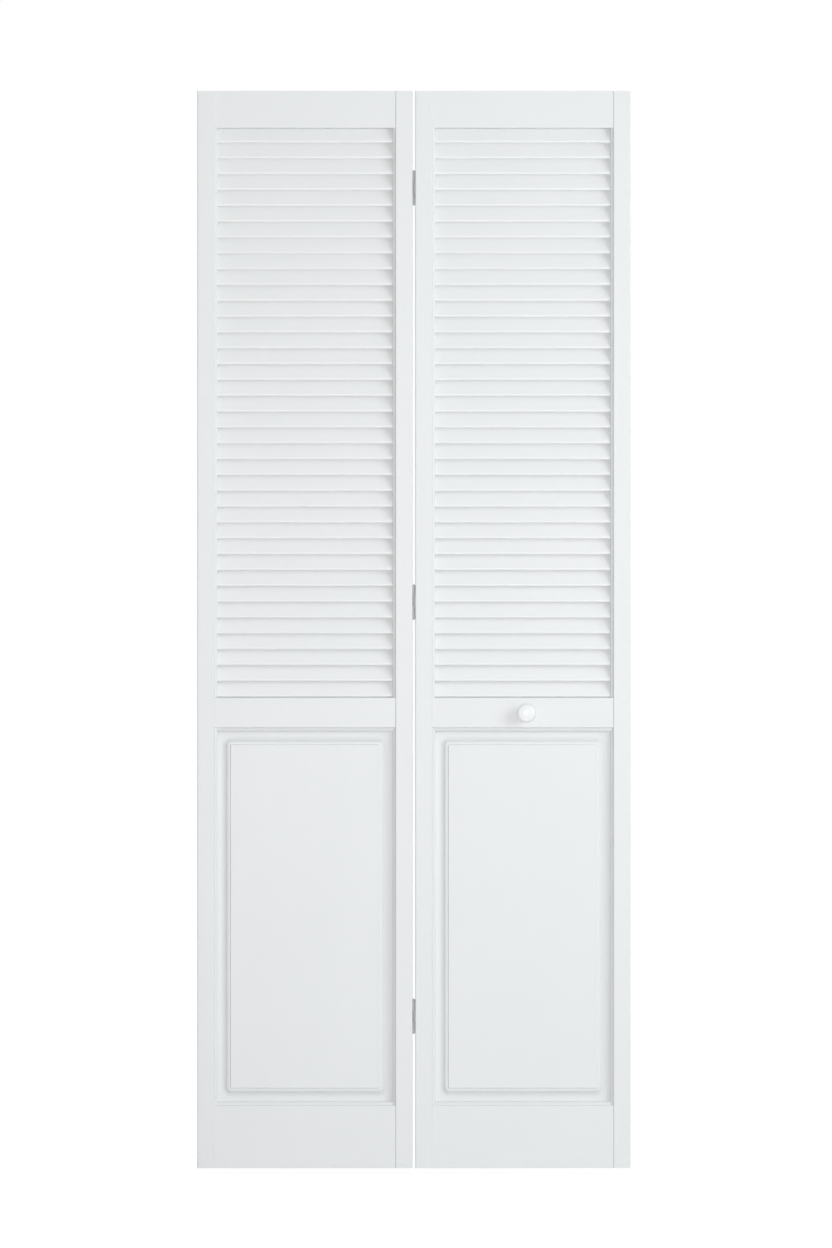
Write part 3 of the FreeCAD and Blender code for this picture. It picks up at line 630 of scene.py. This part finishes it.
def lock_rail(leaf):
    """The lock rail, its top rebated in front so that a line of shadow lies under the lowest
    slat and no light shows through from behind."""
    low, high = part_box(f"{leaf}_lock_rail")
    ridge, sill = high.z + SILL_RIDGE, high.z - SILL_DEPTH
    top = [
        (high.y, ridge, PAINT_ROUNDING), (SILL_WALL, ridge, PAINT_ROUNDING),
        (SILL_WALL, sill), (low.y, sill, PAINT_ROUNDING),
    ]
    rail(leaf, "lock_rail", panel_edge(low, high, low.z, 1) + top)


def bottom_rail(leaf):
    low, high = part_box(f"{leaf}_bottom_rail")
    bottom = [(high.y, low.z, PAINT_ROUNDING), (low.y, low.z, PAINT_ROUNDING)]
    rail(leaf, "bottom_rail", panel_edge(low, high, high.z, -1) + bottom)


def louvre_slats(leaf):
    """The slats of a leaf, each a hair off true as slats settle in their mortises."""
    node = f"{leaf}_louvre_slats"
    low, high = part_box(node)
    bm = slat_run(node, low.x, high.x, scatter=SLAT_TILT_SCATTER)
    finish_piece(node, bm, leaf, slat_enamel)


def raised_half(half_thickness):
    """Half section of the raised edge: out from its corners' centres, and off the middle."""
    step = FIELD_CORNER
    bead_end = step + BEAD_WIDTH
    cove_end = bead_end + COVE_WIDTH
    tongue = TONGUE_THICKNESS / 2
    cove_top = tongue + COVE_RISE
    bead_start = half_thickness - FIELD_STEP
    bead_foot = cove_top + BEAD_STEP
    return [
        (step / 3, half_thickness),
        (step - STEP_SLOPE / 2, half_thickness, PAINT_ROUNDING),
        (step + STEP_SLOPE / 2, bead_start),
        (step + BEAD_WIDTH * BEAD_CREST, bead_start, BEAD_ROUNDING),
        (bead_end - STEP_SLOPE / 3, bead_foot, PAINT_ROUNDING),
        (bead_end + STEP_SLOPE / 3, cove_top),
        (bead_end + COVE_WIDTH * COVE_FOOT, tongue, COVE_ROUNDING),
        (cove_end, tongue),
        (cove_end, tongue / 2),
    ]


def raised_panel(leaf):
    """A board with a raised edge run round its field, turned at each corner as a cutter leaves
    it, on a thinner board that reaches into the grooves."""
    node = f"{leaf}_raised_panel"
    low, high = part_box(node)
    left, right = low.x + FIELD_INSET + FIELD_CORNER, high.x - FIELD_INSET - FIELD_CORNER
    down, up = low.z + FIELD_INSET + FIELD_CORNER, high.z - FIELD_INSET - FIELD_CORNER
    back = [(c[1], down - c[0], *c[2:]) for c in raised_half(high.y)]
    front = [(-c[0], c[1], *c[2:]) for c in back]

    bm = bmesh.new()
    draw_section(bm, back + front[::-1], "X", left)
    bmesh.ops.delete(bm, geom=bm.faces, context="FACES_ONLY")
    inner_z = down - FIELD_CORNER / 3
    across_field = [
        e for e in bm.edges
        if all(abs(v.co.z - inner_z) < TOUCH for v in e.verts) and e.calc_length() > high.y
    ]
    bmesh.ops.delete(bm, geom=across_field, context="EDGES")
    outline = bm.verts[:] + bm.edges[:]
    route = (
        ((right - left, 0, 0), (right, 0, down)),
        ((0, 0, up - down), (right, 0, up)),
        ((left - right, 0, 0), (left, 0, up)),
        ((0, 0, down - up), (left, 0, down)),
    )
    for travel, corner in route:
        outline = bmesh.ops.spin(
            bm, geom=outline, cent=corner, axis=(0, 1, 0), dvec=travel, angle=0.0, steps=1,
            use_merge=False, use_duplicate=False,
        )["geom_last"]
        outline = bmesh.ops.spin(
            bm, geom=outline, cent=corner, axis=(0, -1, 0), dvec=(0, 0, 0), angle=math.pi / 2,
            steps=CORNER_STEPS, use_merge=False, use_duplicate=False,
        )["geom_last"]
    bmesh.ops.remove_doubles(bm, verts=bm.verts, dist=WELD)
    bmesh.ops.holes_fill(bm, edges=[e for e in bm.edges if e.is_boundary], sides=0)
    close_up(bm)
    core = block(
        (low.x, -TONGUE_THICKNESS / 2, low.z), (high.x, TONGUE_THICKNESS / 2, high.z)
    )
    bm = combine(bm, "UNION", core)
    finish_piece(node, bm, leaf, panel_enamel)


def leaf_joinery(leaf, left_stile, right_stile):
    """All the wood of a leaf."""
    stile(leaf, left_stile, 1)
    stile(leaf, right_stile, -1)
    top_rail(leaf)
    lock_rail(leaf)
    bottom_rail(leaf)
    louvre_slats(leaf)
    raised_panel(leaf)


# ---------------------------------------------------------------- hinges and knob

def cross_recess(face, length, width, depth):
    """A cutter for the cross in a screw's head, whose face looks along +Y."""
    face = Vector(face)
    arms = [
        block(face - Vector((a, depth, b)), face + Vector((a, depth, b)))
        for a, b in ((length / 2, width / 2), (width / 2, length / 2))
    ]
    return combine(arms[0], "UNION", arms[1])


def hinge_plate(place, leaf, side, first_knuckle):
    """A butt hinge's plate: a flap with countersunk holes, its edge rolled into knuckles."""
    node = f"{place}_hinge_{leaf.split('_')[0]}_plate"
    low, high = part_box(node)
    pin_low, pin_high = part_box(f"{place}_hinge_pin")
    axis_x = (pin_low.x + pin_high.x) / 2
    axis_y = low.y + KNUCKLE_RADIUS
    foot, head = pin_low.z + PIN_TIP, pin_high.z - PIN_TIP
    pitch = (head - foot) / KNUCKLE_COUNT
    near = axis_x + side * (KNUCKLE_RADIUS + NOTCH_GAP)
    reach = low.x if side < 0 else high.x
    bm = moulding(
        [(near, foot), (reach, foot, PLATE_CORNER), (reach, head, PLATE_CORNER), (near, head)],
        "Y", low.y, low.y + PLATE_THICKNESS,
    )
    for index in range(first_knuckle, KNUCKLE_COUNT, 2):
        bottom = foot + index * pitch + KNUCKLE_GAP / 2
        top = foot + (index + 1) * pitch - KNUCKLE_GAP / 2
        across = sorted((axis_x, near + side * PLATE_THICKNESS))
        web = block((across[0], low.y, bottom), (across[1], low.y + PLATE_THICKNESS, top))
        roll = cone((axis_x, axis_y, bottom), (0, 0, 1), KNUCKLE_RADIUS, KNUCKLE_RADIUS,
                    top - bottom)
        bm = combine(combine(bm, "UNION", web), "UNION", roll)
    bore = cone((axis_x, axis_y, foot - OVERRUN), (0, 0, 1), PIN_RADIUS + PIN_CLEARANCE,
                PIN_RADIUS + PIN_CLEARANCE, head - foot + 2 * OVERRUN, segments=32)
    cuts = [bore]
    screw_x = screw_places(leaf)[0]
    for rise in (SCREW_RISE, SCREW_RISE + SCREW_PITCH):
        cuts.append(cone(
            (screw_x, low.y + PLATE_THICKNESS, foot + rise), (0, -1, 0),
            SCREW_HEAD_RADIUS + PIN_CLEARANCE, SCREW_RADIUS + PIN_CLEARANCE, PLATE_THICKNESS,
            segments=32,
        ))
    bm = combine(bm, "DIFFERENCE", gather(cuts))
    finish_piece(node, bm, leaf, hinge_coat, bevel=PLATE_EDGE_ROUNDING)


def hinge_pin(place):
    """A drawn pin with domed tips."""
    node = f"{place}_hinge_pin"
    low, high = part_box(node)
    centre = (low + high) / 2
    length = high.z - low.z
    bm = turning(
        [(0, 0), (PIN_RADIUS, 0, PIN_DOME), (PIN_RADIUS, length, PIN_DOME), (0, length)],
        (centre.x, centre.y, low.z), (0, 0, 1), steps=24,
    )
    finish_piece(node, bm, "pivot_leaf", zinc)


def hinge_screws(leaf):
    """Countersunk screws, heads flush with the plates, with a cross for the driver."""
    node = f"{leaf}_hinge_screws"
    face_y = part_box(node)[1].y
    x, heights = screw_places(leaf)
    screws = []
    for z in heights:
        screw = turning(
            [(0, 0), (SCREW_HEAD_RADIUS, 0), (SCREW_RADIUS, PLATE_THICKNESS),
             (SCREW_RADIUS, SCREW_SHANK), (0, SCREW_LENGTH)],
            (x, face_y, z), (0, -1, 0), steps=24,
        )
        cross = cross_recess((x, face_y, z), *SCREW_CROSS)
        screws.append(combine(screw, "DIFFERENCE", cross))
    finish_piece(node, gather(screws), leaf, hinge_coat)


def knob():
    """A turned birch knob: foot, waisted neck, rounded rim, and a ring cut in its face."""
    low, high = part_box("knob")
    rim = (high.x - low.x) / 2
    height = high.y - low.y
    face = height - KNOB_FACE_RISE
    neck_start, neck_end = KNOB_NECK_RISE
    rim_start, rim_end = KNOB_RIM_RISE
    ring = KNOB_RING_RADII
    bm = turning(
        [
            (0, KNOB_BORE_DEPTH), (KNOB_BORE_RADIUS, KNOB_BORE_DEPTH), (KNOB_BORE_RADIUS, 0),
            (KNOB_FOOT_RADIUS, 0, 0.4 * MM), (KNOB_FOOT_RADIUS, KNOB_FOOT_HEIGHT, 1.4 * MM),
            (KNOB_NECK_RADIUS, neck_start, 1.5 * MM), (KNOB_NECK_RADIUS, neck_end, 5 * MM),
            (rim, rim_start, 3.5 * MM), (rim, rim_end, 4 * MM), (ring[0], face, 1 * MM),
            (ring[1], face - KNOB_RING_DEPTH, 0.5 * MM),
            (ring[2], face - KNOB_RING_DEPTH, 0.5 * MM),
            (ring[3], face + KNOB_RING_LIP, 1 * MM),
            (KNOB_CROWN_RADIUS, height, 3 * MM), (0, height),
        ],
        ((low.x + high.x) / 2, high.y, (low.z + high.z) / 2), (0, -1, 0), steps=96,
    )
    finish_piece("knob", bm, "lead_leaf", knob_enamel, sharp_angle=35)


def knob_screw():
    """A machine screw with a low domed head, through the rail into the knob."""
    low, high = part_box("knob_screw")
    head = (high.x - low.x) / 2
    centre = ((low.x + high.x) / 2, high.y, (low.z + high.z) / 2)
    length = high.y - low.y
    bm = turning(
        [(0, 0), (head, 0, 2 * MM), (head, KNOB_SCREW_HEAD, 0.3 * MM),
         (KNOB_SCREW_RADIUS, KNOB_SCREW_HEAD), (KNOB_SCREW_RADIUS, length, 0.5 * MM),
         (0, length)],
        centre, (0, -1, 0), steps=48,
    )
    bm = combine(bm, "DIFFERENCE", cross_recess(centre, *KNOB_SCREW_CROSS))
    finish_piece("knob_screw", bm, "lead_leaf", zinc)


leaf_joinery("pivot_leaf", "outer_stile", "hinge_stile")
leaf_joinery("lead_leaf", "hinge_stile", "outer_stile")
for hinge_place in ("bottom", "middle", "top"):
    hinge_plate(hinge_place, "pivot_leaf", -1, 0)
    hinge_plate(hinge_place, "lead_leaf", 1, 1)
    hinge_pin(hinge_place)
hinge_screws("pivot_leaf")
hinge_screws("lead_leaf")
knob()
knob_screw()


# ---------------------------------------------------------------- stage

def seen_directly(tree):
    """1 for what the eye sees, straight or in clear gloss or glass, and 0 for other light."""
    path = add(tree, "ShaderNodeLightPath")
    eye_or_gloss = add(tree, "ShaderNodeMath", {"operation": "MAXIMUM"})
    tree.links.new(path.outputs["Is Camera Ray"], eye_or_gloss.inputs[0])
    tree.links.new(path.outputs["Is Glossy Ray"], eye_or_gloss.inputs[1])
    seen = add(tree, "ShaderNodeMath", {"operation": "MAXIMUM"})
    tree.links.new(eye_or_gloss.outputs[0], seen.inputs[0])
    tree.links.new(path.outputs["Is Transmission Ray"], seen.inputs[1])
    return seen.outputs[0]


def mix_seen(tree, unseen, seen):
    """One shader for what is seen directly, another for the light that it throws."""
    mix = add(tree, "ShaderNodeMixShader", Fac=seen_directly(tree))
    tree.links.new(unseen, mix.inputs[1])
    tree.links.new(seen, mix.inputs[2])
    return mix.outputs[0]


def studio_world():
    """A white surround. The light that it throws is stronger from above and from the right."""
    world = bpy.data.worlds.new("studio")
    world.use_nodes = True
    tree = world.node_tree
    tree.nodes.clear()
    white = add(tree, "ShaderNodeBackground", Color=(1, 1, 1, 1), Strength=1.0)
    way = add(tree, "ShaderNodeTexCoord").outputs["Generated"]
    lean = add(tree, "ShaderNodeVectorMath", {"operation": "DOT_PRODUCT"})
    tree.links.new(way, lean.inputs[0])
    lean.inputs[1].default_value = FILL_LEAN
    level = add(tree, "ShaderNodeMapRange", Value=lean.outputs["Value"], From_Min=-1.0,
                To_Min=0.0, To_Max=2 * FILL_LEVEL)
    fill = add(tree, "ShaderNodeBackground", Color=(1, 1, 1, 1), Strength=level.outputs["Result"])
    surface = mix_seen(tree, fill.outputs[0], white.outputs[0])
    add(tree, "ShaderNodeOutputWorld", Surface=surface)
    bpy.context.scene.world = world


def studio_floor():
    """A white floor just under the door, bright enough to vanish and still take its shadow."""
    bm = bmesh.new()
    bmesh.ops.create_grid(bm, x_segments=1, y_segments=1, size=FLOOR_REACH)
    bmesh.ops.translate(bm, verts=bm.verts, vec=(DOOR_CENTRE_X, 0, cad_bounds[0][2] - FLOOR_DROP))
    floor = as_object("studio_floor", bm)
    material, tree = new_material("white_studio_floor")
    paper = add(tree, "ShaderNodeBsdfDiffuse", Color=(FLOOR_PAPER, FLOOR_PAPER, FLOOR_PAPER, 1))
    glow = add(tree, "ShaderNodeEmission", Color=(1, 1, 1, 1), Strength=FLOOR_GLOW)
    lit = add(tree, "ShaderNodeAddShader")
    tree.links.new(paper.outputs[0], lit.inputs[0])
    tree.links.new(glow.outputs[0], lit.inputs[1])
    plain = add(tree, "ShaderNodeBsdfDiffuse", Color=(FLOOR_TONE, FLOOR_TONE, FLOOR_TONE, 1))
    surface = mix_seen(tree, plain.outputs[0], lit.outputs[0])
    add(tree, "ShaderNodeOutputMaterial", Surface=surface)
    floor.data.materials.append(material)


def soft_box(name, turn, rise, distance, size, power, colour):
    """A square soft box that faces the door from a turn to the right and a rise."""
    turn, rise = math.radians(turn), math.radians(rise)
    way = Vector((
        math.sin(turn) * math.cos(rise), -math.cos(turn) * math.cos(rise), math.sin(rise)
    ))
    lamp = bpy.data.lights.new(name, "AREA")
    lamp.shape = "SQUARE"
    lamp.size = size
    lamp.energy = power
    lamp.color = colour
    light = bpy.data.objects.new(name, lamp)
    bpy.context.scene.collection.objects.link(light)
    light.location = Vector((DOOR_CENTRE_X, 0, DOOR_CENTRE_Z)) + way * distance
    light.rotation_euler = way.to_track_quat("Z", "Y").to_euler()


def eye():
    """Square on to the door, level with the middle of the frame."""
    metres_per_pixel = (cad_bounds[1][2] - cad_bounds[0][2]) / (DOOR_BOTTOM_PIXEL - DOOR_TOP_PIXEL)
    lens = bpy.data.cameras.new("eye")
    lens.sensor_fit = "VERTICAL"
    lens.sensor_height = 36.0
    lens.lens = lens.sensor_height * CAMERA_DISTANCE / (IMAGE_HEIGHT * metres_per_pixel)
    camera = bpy.data.objects.new("eye", lens)
    bpy.context.scene.collection.objects.link(camera)
    left_edge = cad_bounds[0][0] - DOOR_LEFT_PIXEL * metres_per_pixel
    camera.location = (
        left_edge + IMAGE_WIDTH / 2 * metres_per_pixel,
        -STILE_HALF_THICKNESS - CAMERA_DISTANCE,
        cad_bounds[0][2] + (DOOR_BOTTOM_PIXEL - IMAGE_HEIGHT / 2) * metres_per_pixel,
    )
    camera.rotation_euler = (math.pi / 2, 0, 0)
    bpy.context.scene.camera = camera


studio_world()
studio_floor()
soft_box("key_light", turn=50, rise=12, distance=4.1, size=2.1, power=KEY_POWER,
         colour=(0.9, 0.985, 1.0))
soft_box("front_light", turn=0, rise=0.3, distance=8, size=1.0, power=FRONT_POWER,
         colour=(1.0, 0.99, 0.98))
eye()
bpy.context.scene.view_settings.view_transform = "Standard"
